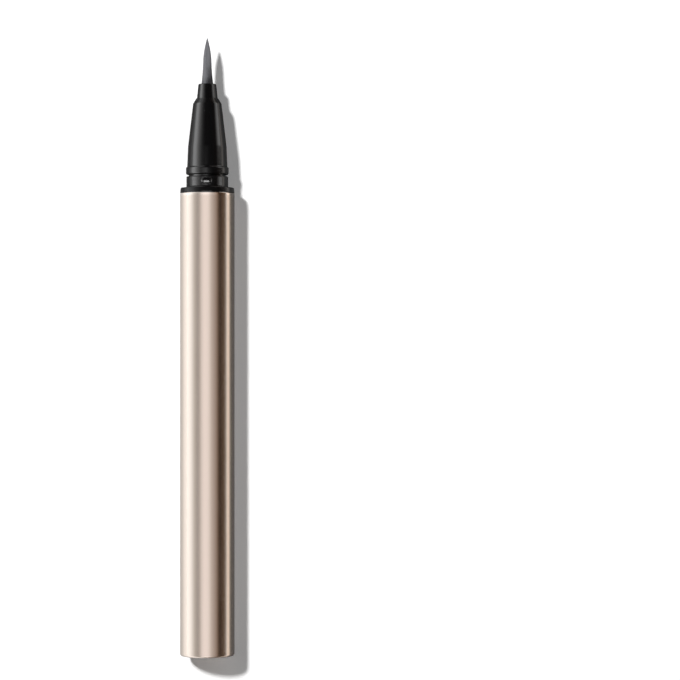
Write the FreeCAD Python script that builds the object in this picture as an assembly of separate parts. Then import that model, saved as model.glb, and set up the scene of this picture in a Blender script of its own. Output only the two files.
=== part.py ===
import FreeCAD, Part
import math
import os

# Liquid eyeliner pen with a fine brush tip, lying open with its cap drawn straight off in front of it.
# The origin is the centre of the barrel's flat tail face, on the pen's axis.
# +Y runs along the axis towards the tip and the cap, +Z is up, and all sizes are in millimetres.

# Brush, the fused root that holds its fibres and the holder round it.
brush_diameter = 2.52
brush_length = 9.7
brush_middle_diameter = 1.76
brush_middle_at = 5.1
brush_waist = 0.07
brush_belly = 0.14
brush_point_diameter = 0.1
brush_seat_depth = 4.6
root_thickness = 0.7
holder_length = 3.06
holder_wall = 0.6
holder_taper = 0.3
holder_shank_length = 5.2
holder_flange_thickness = 0.8
holder_flange_width = 0.42
holder_rim_rounding = 0.22
holder_mouth_chamfer = 0.12

# Nose: the tapered front of the pen, which plugs into the neck collar.
nose_front_wall = 0.8
nose_shoulder_length = 1.1
nose_shoulder_rounding = 0.4
upper_cone_length = 8.95
kink_step = 0.45
kink_rounding = 3.0
lower_cone_length = 4.35
lower_cone_step = 0.26
bead_length = 1.75
bead_height = 0.1
bead_slope = 0.25
bead_front_rounding = 0.3
bead_rear_rounding = 0.45
parting_groove_width = 0.3
parting_groove_depth = 0.5
nose_wall = 0.64

# Neck collar: neck, flange and the ribbed spigot that is pressed into the barrel.
neck_length = 2.4
neck_wall = 0.98
neck_root_rounding = 0.35
neck_front_rounding = 0.2
socket_depth = 4.5
flange_thickness = 1.1
spigot_length = 6.0
spigot_wall = 1.55
press_rib_count = 8
press_rib_height = 0.2
press_rib_width = 0.6

# Bumps round the neck that hold the cap: low bars with round ends.
bump_count = 3
bump_height = 0.22
bump_rounding = 1.0
bump_straight = 0.8
bump_from_flange = 1.38

# Barrel sleeve: a drawn aluminium tube, closed at the tail. The cap's sleeve is the same tube.
sleeve_wall = 0.5
barrel_length = 97.6
tail_thickness = 0.7
cap_top_thickness = 0.7
end_rounding = 0.5
rim_chamfer = 0.1

# Ink feed: a fibre core through a comb of thin fins that takes up ink when the pen warms.
core_diameter = 1.6
core_reach_into_tank = 1.0
spine_wall = 0.5
guide_length = 2.0
guide_step = 0.2
fin_thickness = 0.35
fin_pitch = 0.88
fin_root = 0.1
ink_slit_width = 0.36
air_notch_width = 1.5
air_notch_depth = 0.75
comb_plug_length = 3.0
comb_tail_length = 3.1
seal_cord_diameter = 0.66

# Ink tank, its tail plug and the stirring ball.
tank_wall = 0.7
tail_plug_spigot = 3.0
tail_plug_flange = 1.2
tail_plug_boss_diameter = 4.0
tail_plug_boss_length = 1.17
tail_plug_hollow_diameter = 5.6
tail_plug_hollow_depth = 2.4
ball_diameter = 3.2
ball_at = 30.0

# Cap liner: the moulded inside of the cap.
liner_lip = 0.4
liner_lip_recess = 0.06
liner_mouth_wall = 0.55
liner_relief = 0.11
liner_land_length = 2.05
liner_mouth_chamfer = 0.25
snap_rib_length = 0.5
snap_rib_ramp = 0.14
chamber_wall = 0.66
ledge_length = 3.4

# Inner cap: a spring-loaded cup that closes on the nose and keeps the brush wet.
inner_cap_wall = 0.55
inner_cap_mouth_length = 3.0
inner_cap_wide_length = 0.8
inner_cap_flange_thickness = 1.0
inner_cap_top_thickness = 0.8
inner_cap_travel = 1.0
seat_from_nose_front = 3.6
tip_room = 1.2

# Spring behind the inner cap, and the plug that closes the liner and carries the spring.
spring_wire = 0.4
spring_turns = 5
spring_end_turns = 1.0
spring_end_gap = 0.5
cap_plug_flange = 0.8
cap_plug_spigot = 1.6
cap_plug_hollow_depth = 1.1
cap_plug_room = 1.09

# Clearances, and the chamfer on edges that are hidden inside.
press_clearance = 0.02
sliding_clearance = 0.05
bump_clearance = 0.06
flange_clearance = 0.16
fin_clearance = 0.1
inner_cap_clearance = 0.08
tank_clearance = 0.1
seat_clearance = 0.07
closed_gap = 0.03
hidden_chamfer = 0.2

# How far in front of the tip the cap lies when the pen is open.
open_distance = 14.0

# Radii, from the brush on the axis outwards to the pen's metal skin.
brush_radius = brush_diameter / 2
holder_bore = brush_radius + press_clearance
holder_front_radius = holder_bore + holder_wall
holder_radius = holder_front_radius + holder_taper
holder_flange_radius = holder_radius + holder_flange_width
nose_front_bore = holder_radius + press_clearance
nose_front_radius = nose_front_bore + nose_front_wall
nose_bore = holder_flange_radius + flange_clearance
nose_spigot_radius = nose_bore + nose_wall
socket_radius = nose_spigot_radius + press_clearance
neck_radius = socket_radius + neck_wall
bead_radius = neck_radius + bead_height
cone_base_radius = bead_radius - lower_cone_step
kink_radius = bead_radius - kink_step
snap_rib_radius = bead_radius + sliding_clearance
bump_radius = neck_radius + bump_height
liner_land = bump_radius + bump_clearance
rib_radius = liner_land + liner_mouth_wall
sleeve_inner = rib_radius + press_clearance
body_radius = sleeve_inner + sleeve_wall

# Radii inside the barrel.
spigot_radius = rib_radius - press_rib_height
spigot_bore = spigot_radius - spigot_wall
tank_radius = sleeve_inner - tank_clearance
tank_bore = tank_radius - tank_wall
core_radius = core_diameter / 2
spine_bore = core_radius + press_clearance
spine_radius = spine_bore + spine_wall
guide_radius = spine_radius + guide_step
holder_counterbore = guide_radius + press_clearance
root_radius = holder_counterbore - press_clearance
fin_radius = nose_bore - fin_clearance

# Places along the axis, from the tail.
flange_at = barrel_length
neck_at = flange_at + flange_thickness
neck_end = neck_at + neck_length
socket_floor = neck_end - socket_depth
spigot_end = flange_at - spigot_length
bead_at = neck_end + parting_groove_width
cone_at = bead_at + bead_length
kink_at = cone_at + lower_cone_length
shoulder_at = kink_at + upper_cone_length
nose_front = shoulder_at + nose_shoulder_length
holder_front = nose_front + holder_length
tip_end = holder_front + brush_length
holder_step = nose_front - holder_shank_length
holder_rear = holder_step - holder_flange_thickness
root_front = holder_front - brush_seat_depth
core_front = root_front - root_thickness
comb_plug_rear = spigot_end - comb_plug_length
comb_rear = comb_plug_rear - comb_tail_length
core_rear = comb_rear - core_reach_into_tank
tail_plug_at = tail_thickness + closed_gap
tail_plug_flange_at = tail_plug_at + tail_plug_boss_length
tank_rear = tail_plug_flange_at + tail_plug_flange

# The nose's taper, and where the inner cap closes on it.
cone_slope = (kink_radius - nose_front_radius) / upper_cone_length
seat_cone_radius = nose_front_radius + cone_slope * (seat_from_nose_front - nose_shoulder_length)
inner_cap_mouth = seat_cone_radius + seat_clearance
inner_cap_mouth_outer = inner_cap_mouth + inner_cap_wall
inner_cap_bore = nose_front_radius + sliding_clearance
inner_cap_outer = inner_cap_bore + inner_cap_wall
ledge_radius = inner_cap_mouth_outer + inner_cap_clearance
chamber_radius = rib_radius - chamber_wall
inner_cap_flange_radius = chamber_radius - inner_cap_clearance
liner_radius = rib_radius - press_rib_height / 2
spring_radius = (inner_cap_outer + chamber_radius) / 2

# Places in the cap: its pieces follow the nose and the tip that they close on, shifted to where the cap lies.
lip_closed = neck_at + closed_gap
cap_shift = tip_end + open_distance - lip_closed
cap_lip = lip_closed + cap_shift
cap_mouth = cap_lip + liner_lip
land_end = cap_lip + liner_land_length
seat_at = nose_front - seat_from_nose_front + cap_shift
ledge_back = seat_at + inner_cap_mouth_length - inner_cap_flange_thickness
ledge_front = ledge_back - ledge_length
inner_cap_back = ledge_back + inner_cap_flange_thickness
inner_cap_ceiling = tip_end + tip_room + cap_shift
inner_cap_top = inner_cap_ceiling + inner_cap_top_thickness
plug_face = inner_cap_top + inner_cap_travel + cap_plug_room
liner_top = plug_face + cap_plug_spigot
plug_top = liner_top + cap_plug_flange
cap_top = plug_top + closed_gap + cap_top_thickness
spring_seat = inner_cap_back + closed_gap
spring_length = plug_face - closed_gap - spring_seat

PEN_AXIS = FreeCAD.Vector(0, 1, 0)
ORIGIN = FreeCAD.Vector(0, 0, 0)


def corner(before, here, after, rounding):
    """The start, middle and end of an arc that rounds one corner of a profile."""
    to_before = (before - here).normalize()
    to_after = (after - here).normalize()
    half_angle = to_before.getAngle(to_after) / 2
    reach = rounding / math.tan(half_angle)
    inset = rounding / math.sin(half_angle) - rounding
    middle = here + (to_before + to_after).normalize() * inset
    return here + to_before * reach, middle, here + to_after * reach


def outline(points):
    """A closed wire through (place, radius) points; a third number rounds that corner."""
    places = [FreeCAD.Vector(point[1], point[0], 0) for point in points]
    starts = []
    ends = []
    edges = []
    for index, here in enumerate(places):
        start = here
        end = here
        if len(points[index]) > 2:
            before = places[index - 1]
            after = places[(index + 1) % len(places)]
            start, middle, end = corner(before, here, after, points[index][2])
            edges.append(Part.Arc(start, middle, end).toShape())
        starts.append(start)
        ends.append(end)
    for index, end in enumerate(ends):
        start = starts[(index + 1) % len(starts)]
        if end.distanceToPoint(start) > 1e-6:
            edges.append(Part.makeLine(end, start))
    return Part.Wire(Part.__sortEdges__(edges))


def turned(points):
    """A solid turned about the pen's axis from a closed profile of (place, radius) points."""
    return Part.Face(outline(points)).revolve(ORIGIN, PEN_AXIS, 360)


def ring(start, end, outer, inner):
    """A plain ring or tube between two places on the axis."""
    return turned([(start, inner), (start, outer), (end, outer), (end, inner)])


def round_the_axis(shape, count):
    """Copies of a shape, evenly spaced round the pen's axis."""
    copies = []
    for index in range(count):
        copy = shape.copy()
        copy.rotate(ORIGIN, PEN_AXIS, 360.0 * index / count)
        copies.append(copy)
    return copies


def block(start, end, width, low, high):
    """A block along the axis, centred on it sideways, from height low to high."""
    return Part.makeBox(width, end - start, high - low, FreeCAD.Vector(-width / 2, start, low))


def press_ribs(start, end, core):
    """Axial ribs with a lead-in, which stand on a cylinder of the core radius and grip a sleeve's wall."""
    rib = block(start, end, press_rib_width, core - press_rib_height / 2, body_radius)
    limit = turned([(start, 0), (start, core), (start + press_rib_height, rib_radius), (end, rib_radius), (end, 0)])
    return [copy.common(limit) for copy in round_the_axis(rib, press_rib_count)]


def closed_sleeve(mouth, closed_end, thickness):
    """A thin tube from its open mouth to a closed end with a rounded edge."""
    inward = -1 if closed_end > mouth else 1
    floor = closed_end + inward * thickness
    return turned([
        (mouth, sleeve_inner),
        (mouth, body_radius - rim_chamfer),
        (mouth - inward * rim_chamfer, body_radius),
        (closed_end, body_radius, end_rounding),
        (closed_end, 0),
        (floor, 0),
        (floor, sleeve_inner - hidden_chamfer),
        (floor + inward * hidden_chamfer, sleeve_inner),
    ])


def make_barrel_sleeve():
    """Satin metal barrel: a drawn tube with a closed, rounded tail."""
    return closed_sleeve(barrel_length, 0, tail_thickness)


def neck_bumps():
    """Small oval bumps round the neck, one of them facing straight up."""
    height = bump_radius - bump_rounding
    place = neck_at + bump_from_flange
    left = FreeCAD.Vector(-bump_straight / 2, place, height)
    right = FreeCAD.Vector(bump_straight / 2, place, height)
    bar = Part.makeCylinder(bump_rounding, bump_straight, left, FreeCAD.Vector(1, 0, 0))
    bar = bar.fuse([Part.makeSphere(bump_rounding, left), Part.makeSphere(bump_rounding, right)])
    neck_skin = ring(neck_at, neck_end, body_radius, (neck_radius + socket_radius) / 2)
    return round_the_axis(bar.common(neck_skin), bump_count)


def make_neck_collar():
    """Black moulded collar: a ribbed spigot in the barrel, the flange, and the neck with its bumps."""
    body = turned([
        (spigot_end, spigot_bore),
        (spigot_end, spigot_radius - hidden_chamfer),
        (spigot_end + hidden_chamfer, spigot_radius),
        (flange_at, spigot_radius),
        (flange_at, body_radius - rim_chamfer),
        (flange_at + rim_chamfer, body_radius),
        (neck_at - rim_chamfer, body_radius),
        (neck_at, body_radius - rim_chamfer),
        (neck_at, neck_radius, neck_root_rounding),
        (neck_end, neck_radius, neck_front_rounding),
        (neck_end, socket_radius),
        (socket_floor, socket_radius),
        (socket_floor, nose_bore),
        (spigot_end + spigot_wall, nose_bore),
    ])
    body = body.fuse(press_ribs(spigot_end + 1, flange_at, spigot_radius))
    return body.fuse(neck_bumps()).removeSplitter()


def make_front_cone():
    """Black tapered nose, with the bead that the cap snaps over and a spigot in the collar."""
    groove_radius = neck_radius - parting_groove_depth
    return turned([
        (socket_floor, nose_bore),
        (socket_floor, nose_spigot_radius - hidden_chamfer),
        (socket_floor + hidden_chamfer, nose_spigot_radius),
        (neck_end, nose_spigot_radius),
        (neck_end, groove_radius),
        (bead_at, groove_radius),
        (bead_at, bead_radius, bead_rear_rounding),
        (cone_at - bead_slope, bead_radius, bead_front_rounding),
        (cone_at, cone_base_radius),
        (kink_at, kink_radius, kink_rounding),
        (shoulder_at, nose_front_radius, nose_shoulder_rounding),
        (nose_front, nose_front_bore + holder_mouth_chamfer),
        (nose_front - holder_mouth_chamfer, nose_front_bore),
        (holder_step, nose_front_bore),
        (holder_step, nose_bore),
    ])


def make_nib_holder():
    """Black holder that comes through the nose from behind and grips the brush."""
    return turned([
        (holder_rear, holder_counterbore),
        (holder_rear, holder_flange_radius),
        (holder_step, holder_flange_radius),
        (holder_step, holder_radius),
        (nose_front, holder_radius),
        (holder_front, holder_front_radius, holder_rim_rounding),
        (holder_front, holder_bore + holder_mouth_chamfer),
        (holder_front - holder_mouth_chamfer, holder_bore),
        (root_front, holder_bore),
        (root_front, holder_counterbore),
    ])


def make_brush_tip():
    """Tapered brush of fine fibres, from its fused root to the point."""
    point_radius = brush_point_diameter / 2
    middle_radius = brush_middle_diameter / 2
    middle_at = holder_front + brush_middle_at
    root = FreeCAD.Vector(0, root_front, 0)
    root_edge = FreeCAD.Vector(brush_radius, root_front, 0)
    mouth = FreeCAD.Vector(brush_radius, holder_front, 0)
    middle = FreeCAD.Vector(middle_radius, middle_at, 0)
    point = FreeCAD.Vector(point_radius, tip_end, 0)
    point_centre = FreeCAD.Vector(0, tip_end, 0)
    waist = (mouth + middle) * 0.5 - FreeCAD.Vector(brush_waist, 0, 0)
    belly = (middle + point) * 0.5 + FreeCAD.Vector(brush_belly, 0, 0)
    edges = [
        Part.makeLine(root, root_edge),
        Part.makeLine(root_edge, mouth),
        Part.Arc(mouth, waist, middle).toShape(),
        Part.Arc(middle, belly, point).toShape(),
        Part.makeLine(point, point_centre),
        Part.makeLine(point_centre, root),
    ]
    return Part.Face(Part.Wire(edges)).revolve(ORIGIN, PEN_AXIS, 360)


def make_brush_root():
    """Disc where the fibres are fused together, seated on the step in the holder."""
    return turned([(core_front, 0), (core_front, root_radius), (root_front, root_radius), (root_front, 0)])


def make_relay_core():
    """Fibre rod that draws ink from the tank to the brush's root."""
    return turned([
        (core_rear, 0),
        (core_rear, core_radius - hidden_chamfer),
        (core_rear + hidden_chamfer, core_radius),
        (core_front, core_radius),
        (core_front, 0),
    ])


def comb_fins():
    """The comb's thin round fins, evenly spaced behind the last one, which backs the holder's flange."""
    fins = []
    place = holder_rear - fin_thickness
    while place > spigot_end + fin_pitch / 2:
        fins.append(ring(place, place + fin_thickness, fin_radius, spine_radius - fin_root))
        place -= fin_pitch
    return fins


def make_collector():
    """Ink collector: a plug in the tank's mouth, a spine and a comb of fins with an ink slit and an air notch."""
    plug_radius = tank_bore - sliding_clearance
    groove_floor = tank_bore - 2 * press_clearance - seal_cord_diameter
    groove_middle = comb_plug_rear + comb_plug_length / 2
    groove_half = seal_cord_diameter / 2 + sliding_clearance
    guide_front = holder_rear + guide_length
    spine = turned([
        (comb_rear, spine_bore),
        (comb_rear, guide_radius),
        (comb_plug_rear, guide_radius),
        (comb_plug_rear, plug_radius - hidden_chamfer),
        (comb_plug_rear + hidden_chamfer, plug_radius),
        (groove_middle - groove_half, plug_radius),
        (groove_middle - groove_half, groove_floor),
        (groove_middle + groove_half, groove_floor),
        (groove_middle + groove_half, plug_radius),
        (spigot_end, plug_radius),
        (spigot_end, spine_radius),
        (holder_rear, spine_radius),
        (holder_rear, guide_radius),
        (guide_front, guide_radius),
        (guide_front, spine_bore),
    ])
    comb = spine.fuse(comb_fins())
    slit = block(spigot_end, holder_rear, ink_slit_width, spine_radius, body_radius)
    notch = block(spigot_end, holder_rear, air_notch_width, -body_radius, air_notch_depth - fin_radius)
    return comb.cut([slit, notch]).removeSplitter()


def make_collector_seal():
    """O-ring in the groove round the collector's plug."""
    cord_radius = seal_cord_diameter / 2
    seal = Part.makeTorus(tank_bore - press_clearance - cord_radius, cord_radius, ORIGIN, PEN_AXIS)
    seal.translate(FreeCAD.Vector(0, comb_plug_rear + comb_plug_length / 2, 0))
    return seal


def make_ink_tank():
    """Clear inner tube that holds the ink."""
    return ring(tank_rear, spigot_end, tank_radius, tank_bore)


def make_tail_plug():
    """Plug that closes the tank and rests on the barrel's closed tail."""
    spigot = tank_bore - press_clearance
    spigot_front = tank_rear + tail_plug_spigot
    boss = tail_plug_boss_diameter / 2
    hollow = tail_plug_hollow_diameter / 2
    return turned([
        (tail_plug_at, 0),
        (tail_plug_at, boss - hidden_chamfer),
        (tail_plug_at + hidden_chamfer, boss),
        (tail_plug_flange_at, boss),
        (tail_plug_flange_at, tank_radius),
        (tank_rear, tank_radius),
        (tank_rear, spigot),
        (spigot_front - hidden_chamfer, spigot),
        (spigot_front, spigot - hidden_chamfer),
        (spigot_front, hollow),
        (spigot_front - tail_plug_hollow_depth, hollow),
        (spigot_front - tail_plug_hollow_depth, 0),
    ])


def make_stirring_ball():
    """Steel ball that rolls in the tank and stirs the ink."""
    ball_radius = ball_diameter / 2
    drop = tank_bore - ball_radius - press_clearance
    return Part.makeSphere(ball_radius, FreeCAD.Vector(0, ball_at, -drop))


def make_cap_sleeve():
    """Satin metal outside of the cap, closed at its top."""
    return closed_sleeve(cap_mouth, cap_top, cap_top_thickness)


def make_cap_liner():
    """Moulded liner: lip, guide land, snap rib, room for the bead, ledge and the inner cap's chamber."""
    relief = liner_land + liner_relief
    rib_at = land_end + snap_rib_ramp
    rib_end = rib_at + snap_rib_length
    lip_radius = body_radius - liner_lip_recess
    body = turned([
        (cap_lip, liner_land + liner_mouth_chamfer),
        (cap_lip, lip_radius - rim_chamfer),
        (cap_lip + rim_chamfer, lip_radius),
        (cap_mouth, lip_radius),
        (cap_mouth, liner_radius),
        (liner_top, liner_radius),
        (liner_top, chamber_radius),
        (ledge_back, chamber_radius),
        (ledge_back, ledge_radius),
        (ledge_front, ledge_radius),
        (ledge_front - (relief - ledge_radius), relief),
        (rib_end + relief - snap_rib_radius, relief),
        (rib_end, snap_rib_radius),
        (rib_at, snap_rib_radius),
        (land_end, liner_land),
        (cap_lip + liner_mouth_chamfer, liner_land),
    ])
    return body.fuse(press_ribs(cap_mouth, liner_top - press_rib_height, liner_radius)).removeSplitter()


def make_cap_plug():
    """Plug that closes the liner's top and carries the spring."""
    spigot = chamber_radius - press_clearance
    hollow = inner_cap_outer + spring_wire / 2
    return turned([
        (plug_face, hollow),
        (plug_face, spigot - hidden_chamfer),
        (plug_face + hidden_chamfer, spigot),
        (liner_top, spigot),
        (liner_top, rib_radius),
        (plug_top - hidden_chamfer, rib_radius),
        (plug_top, rib_radius - hidden_chamfer),
        (plug_top, 0),
        (plug_face + cap_plug_hollow_depth, 0),
        (plug_face + cap_plug_hollow_depth, hollow),
    ])


def make_inner_cap():
    """Cup round the brush, with a wide mouth for the nose and a flange behind the liner's ledge."""
    bore_step = inner_cap_back + inner_cap_wide_length
    return turned([
        (seat_at, inner_cap_mouth),
        (seat_at, inner_cap_mouth_outer - hidden_chamfer),
        (seat_at + hidden_chamfer, inner_cap_mouth_outer),
        (ledge_back, inner_cap_mouth_outer),
        (ledge_back, inner_cap_flange_radius),
        (inner_cap_back, inner_cap_flange_radius),
        (inner_cap_back, inner_cap_outer),
        (inner_cap_top - hidden_chamfer, inner_cap_outer),
        (inner_cap_top, inner_cap_outer - hidden_chamfer),
        (inner_cap_top, 0),
        (inner_cap_ceiling, 0),
        (inner_cap_ceiling, inner_cap_bore),
        (bore_step, inner_cap_bore),
        (bore_step - (inner_cap_mouth - inner_cap_bore), inner_cap_mouth),
    ])


def tangent_arc(start, pole, end):
    """The arc from start to end whose end tangents meet at the pole."""
    chord_middle = (start + end) * 0.5
    half_chord = (end - start).Length / 2
    half_angle = math.atan2((pole - chord_middle).Length, half_chord)
    rise = half_chord * math.tan(half_angle / 2)
    middle = chord_middle + (pole - chord_middle).normalize() * rise
    return Part.Arc(start, middle, end).toShape()


def biarc(start, start_way, end, end_way):
    """Two tangent arcs from one point and direction to another."""
    chord = end - start
    a = 2 * (1 - start_way.dot(end_way))
    b = 2 * chord.dot(start_way + end_way)
    c = -chord.dot(chord)
    reach = (-b + math.sqrt(b * b - 4 * a * c)) / (2 * a)
    start_pole = start + start_way * reach
    end_pole = end - end_way * reach
    joint = (start_pole + end_pole) * 0.5
    return [tangent_arc(start, start_pole, joint), tangent_arc(joint, end_pole, end)]


def spring_height(turn):
    """Height along the spring at a given turn: nearly closed end turns, with open turns between them."""
    end_pitch = spring_wire + spring_end_gap
    end_height = spring_end_turns * end_pitch
    open_turns = spring_turns - 2 * spring_end_turns
    open_height = spring_length - spring_wire - 2 * end_height
    if turn <= spring_end_turns:
        return end_pitch * turn
    if turn >= spring_turns - spring_end_turns:
        return end_height + open_height + end_pitch * (turn - spring_turns + spring_end_turns)
    return end_height + open_height * (turn - spring_end_turns) / open_turns


def spring_point(turn):
    """Centre of the wire and its direction at a given turn."""
    angle = 2 * math.pi * turn
    step = 0.001
    rise = (spring_height(turn + step) - spring_height(turn - step)) / (2 * step)
    height = spring_seat + spring_wire / 2 + spring_height(turn)
    place = FreeCAD.Vector(spring_radius * math.cos(angle), height, spring_radius * math.sin(angle))
    speed = 2 * math.pi * spring_radius
    way = FreeCAD.Vector(-math.sin(angle) * speed, rise, math.cos(angle) * speed).normalize()
    return place, way


def least_self_gap(path):
    """Least distance between the surfaces of two turns of the wire, from points along the path."""
    points_per_turn = 60
    points = path.discretize(Number=points_per_turn * spring_turns)
    least = spring_length
    for index, point in enumerate(points):
        for other in points[index + points_per_turn // 2:]:
            least = min(least, point.distanceToPoint(other))
    return least - spring_wire


def make_inner_cap_spring():
    """Compression spring between the inner cap's flange and the plug, as one unbroken wire."""
    quarters = 4 * spring_turns
    stations = [spring_point(spring_turns * index / quarters) for index in range(quarters + 1)]
    edges = []
    for (start, start_way), (end, end_way) in zip(stations, stations[1:]):
        edges.extend(biarc(start, start_way, end, end_way))
    first, first_way = stations[0]
    last, last_way = stations[-1]
    wire_start = first - first_way * spring_wire
    wire_end = last + last_way * spring_wire
    path = Part.Wire([Part.makeLine(wire_start, first)] + edges + [Part.makeLine(last, wire_end)])
    section = Part.Wire(Part.makeCircle(spring_wire / 2, wire_start, first_way))
    print("spring: least gap to itself", round(least_self_gap(path), 3), "mm")
    return path.makePipeShell([section], True, False)


PIECES = {
    "barrel_sleeve": make_barrel_sleeve,
    "neck_collar": make_neck_collar,
    "front_cone": make_front_cone,
    "nib_holder": make_nib_holder,
    "brush_tip": make_brush_tip,
    "brush_root": make_brush_root,
    "relay_core": make_relay_core,
    "collector": make_collector,
    "collector_seal": make_collector_seal,
    "ink_tank": make_ink_tank,
    "tail_plug": make_tail_plug,
    "stirring_ball": make_stirring_ball,
    "cap_sleeve": make_cap_sleeve,
    "cap_liner": make_cap_liner,
    "cap_plug": make_cap_plug,
    "inner_cap": make_inner_cap,
    "inner_cap_spring": make_inner_cap_spring,
}


def main():
    """Makes every piece and writes each to its own STEP file."""
    os.makedirs("parts", exist_ok=True)
    for name, make in PIECES.items():
        shape = make()
        if not shape.isValid() or len(shape.Solids) != 1:
            raise RuntimeError(name + " is not one valid solid")
        shape.Solids[0].exportStep("parts/" + name + ".step")
        print(name, "volume", round(shape.Volume, 2), "mm3")
    print("body diameter", round(2 * body_radius, 3), "neck", round(2 * neck_radius, 3), "bead", round(2 * bead_radius, 3))
    print("cap slides from", round(-cap_shift, 3), "mm to 0, cap length", round(cap_top - cap_mouth, 3))
    print("lengths: pen", round(tip_end, 3), "with its cap lying in front", round(cap_top, 3))


main()
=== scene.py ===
import math
import random
import bmesh
import bpy
from bpy.props import FloatProperty, FloatVectorProperty, IntProperty, PointerProperty
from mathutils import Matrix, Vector


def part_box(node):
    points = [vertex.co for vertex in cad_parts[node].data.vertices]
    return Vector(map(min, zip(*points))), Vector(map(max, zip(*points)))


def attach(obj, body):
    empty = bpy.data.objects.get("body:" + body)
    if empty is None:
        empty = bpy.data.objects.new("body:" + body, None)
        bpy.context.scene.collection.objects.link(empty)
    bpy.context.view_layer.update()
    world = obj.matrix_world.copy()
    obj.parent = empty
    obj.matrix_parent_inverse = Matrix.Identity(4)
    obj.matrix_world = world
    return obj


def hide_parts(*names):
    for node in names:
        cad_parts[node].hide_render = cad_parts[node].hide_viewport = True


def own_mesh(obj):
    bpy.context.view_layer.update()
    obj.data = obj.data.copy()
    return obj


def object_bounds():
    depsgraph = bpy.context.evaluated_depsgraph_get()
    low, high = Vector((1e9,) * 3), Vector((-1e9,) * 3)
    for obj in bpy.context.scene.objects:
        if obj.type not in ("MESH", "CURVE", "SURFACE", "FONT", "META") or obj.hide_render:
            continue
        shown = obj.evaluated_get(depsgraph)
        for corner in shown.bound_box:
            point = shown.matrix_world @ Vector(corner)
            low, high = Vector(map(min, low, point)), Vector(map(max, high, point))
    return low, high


bl_info = {
    "name": "Eyeliner Pen",
    "version": (1, 0, 0),
    "blender": (4, 5, 0),
    "location": "3D Viewport > Sidebar > Eyeliner Pen",
    "description": "Makes the pieces and finishes of a liquid eyeliner pen, and the table it lies on",
    "category": "Add Mesh",
}

# The pen lies along +Y with its tail's centre at the origin, and its cap lies in line in front of the brush.
# Every size is in metres.

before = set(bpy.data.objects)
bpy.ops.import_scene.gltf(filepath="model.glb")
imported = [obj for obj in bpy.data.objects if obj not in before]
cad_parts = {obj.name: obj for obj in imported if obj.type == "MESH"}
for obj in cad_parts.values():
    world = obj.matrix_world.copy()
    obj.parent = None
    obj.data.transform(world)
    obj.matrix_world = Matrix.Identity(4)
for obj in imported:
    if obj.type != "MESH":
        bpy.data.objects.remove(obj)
cad_low, cad_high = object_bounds()

# The sockets of a Mix node that take and give a colour.
FIRST_COLOUR = 6
LAST_COLOUR = 7
MIXED_COLOUR = 2

# Sizes that several pieces share.
HIDDEN_ROUNDING = 0.0002
SMALL_CHAMFER = 0.00012


def length(name, description, default):
    """A length that a user can change."""
    return FloatProperty(
        name=name, description=description, default=default, min=0, unit="LENGTH", precision=5
    )


def number(name, description, default, least):
    """A whole number that a user can change."""
    return IntProperty(name=name, description=description, default=default, min=least)


def share(name, description, default):
    """A number from 0 to 1 that a user can change."""
    return FloatProperty(
        name=name, description=description, default=default, min=0, max=1, subtype="FACTOR"
    )


def colour(name, description, default):
    """A colour that a user can change."""
    return FloatVectorProperty(
        name=name, description=description, default=default, size=3, min=0, max=1, subtype="COLOR"
    )


def low(node, axis):
    """Where a CAD piece starts along an axis, 0 to 2."""
    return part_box(node)[0][axis]


def high(node, axis):
    """Where a CAD piece ends along an axis, 0 to 2."""
    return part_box(node)[1][axis]


class BarrelSizes(bpy.types.PropertyGroup):
    """Sizes of the metal barrel."""

    radius: length("Radius", "Outer radius of barrel and cap", high("barrel_sleeve", 2))
    mouth: length("Mouth", "Where the barrel's mouth is", high("barrel_sleeve", 1))
    wall: length("Wall", "Thickness of the drawn tube", 0.0005)
    end_wall: length("End wall", "Thickness of the closed ends", 0.0007)
    end_rounding: length("End rounding", "Rounding of the closed ends", 0.0005)
    rim_rounding: length("Rim rounding", "Rounding of the mouth's edge", 0.0002)


class CollarSizes(bpy.types.PropertyGroup):
    """Sizes of the black collar."""

    flange: length("Flange", "Thickness of the flange", 0.0011)
    flange_draft: length("Flange draft", "How much smaller the flange's front is than its rear", 0.00012)
    neck_radius: length("Neck radius", "Radius of the neck", 0.0044)
    neck_end: length("Neck end", "Where the neck ends", high("neck_collar", 1))
    socket_radius: length("Socket radius", "Radius of the socket for the nose", 0.00342)
    bore: length("Bore", "Radius of the bore behind the socket", 0.00276)
    socket_depth: length("Socket depth", "Depth of the socket for the nose", 0.0045)
    bump_from_flange: length("Bump place", "From the flange to the middle of a bump", 0.00138)
    bump_bar_radius: length("Bump bar radius", "Radius of the bar that a bump is the top of", 0.001)
    bump_bar_straight: length("Bump bar length", "Straight length of that bar between its round ends", 0.0008)
    bump_radius: length("Bump radius", "Radius over the bumps", 0.00462)
    bump_count: number("Bumps", "Number of bumps round the neck", 3, 1)


class NoseSizes(bpy.types.PropertyGroup):
    """Sizes of the tapered nose."""

    groove_radius: length("Groove radius", "Radius of the parting groove behind the bead", 0.0039)
    bead_at: length("Bead place", "Where the bead starts", 0.1014)
    bead_length: length("Bead length", "Length of the bead", 0.00175)
    bead_radius: length("Bead radius", "Radius of the bead", 0.0045)
    base_radius: length("Base radius", "Radius of the taper behind the kink", 0.00424)
    kink_at: length("Kink place", "Where the taper gets steeper", 0.1075)
    kink_radius: length("Kink radius", "Radius where the taper gets steeper", 0.00405)
    shoulder_at: length("Shoulder place", "Where the taper ends in a shoulder", 0.11645)
    shoulder_radius: length("Shoulder radius", "Radius at the shoulder", 0.003)
    front_bore: length("Front bore", "Radius of the bore at the front", 0.0022)
    spigot_radius: length("Spigot radius", "Radius of the part inside the collar", 0.0034)


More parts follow.
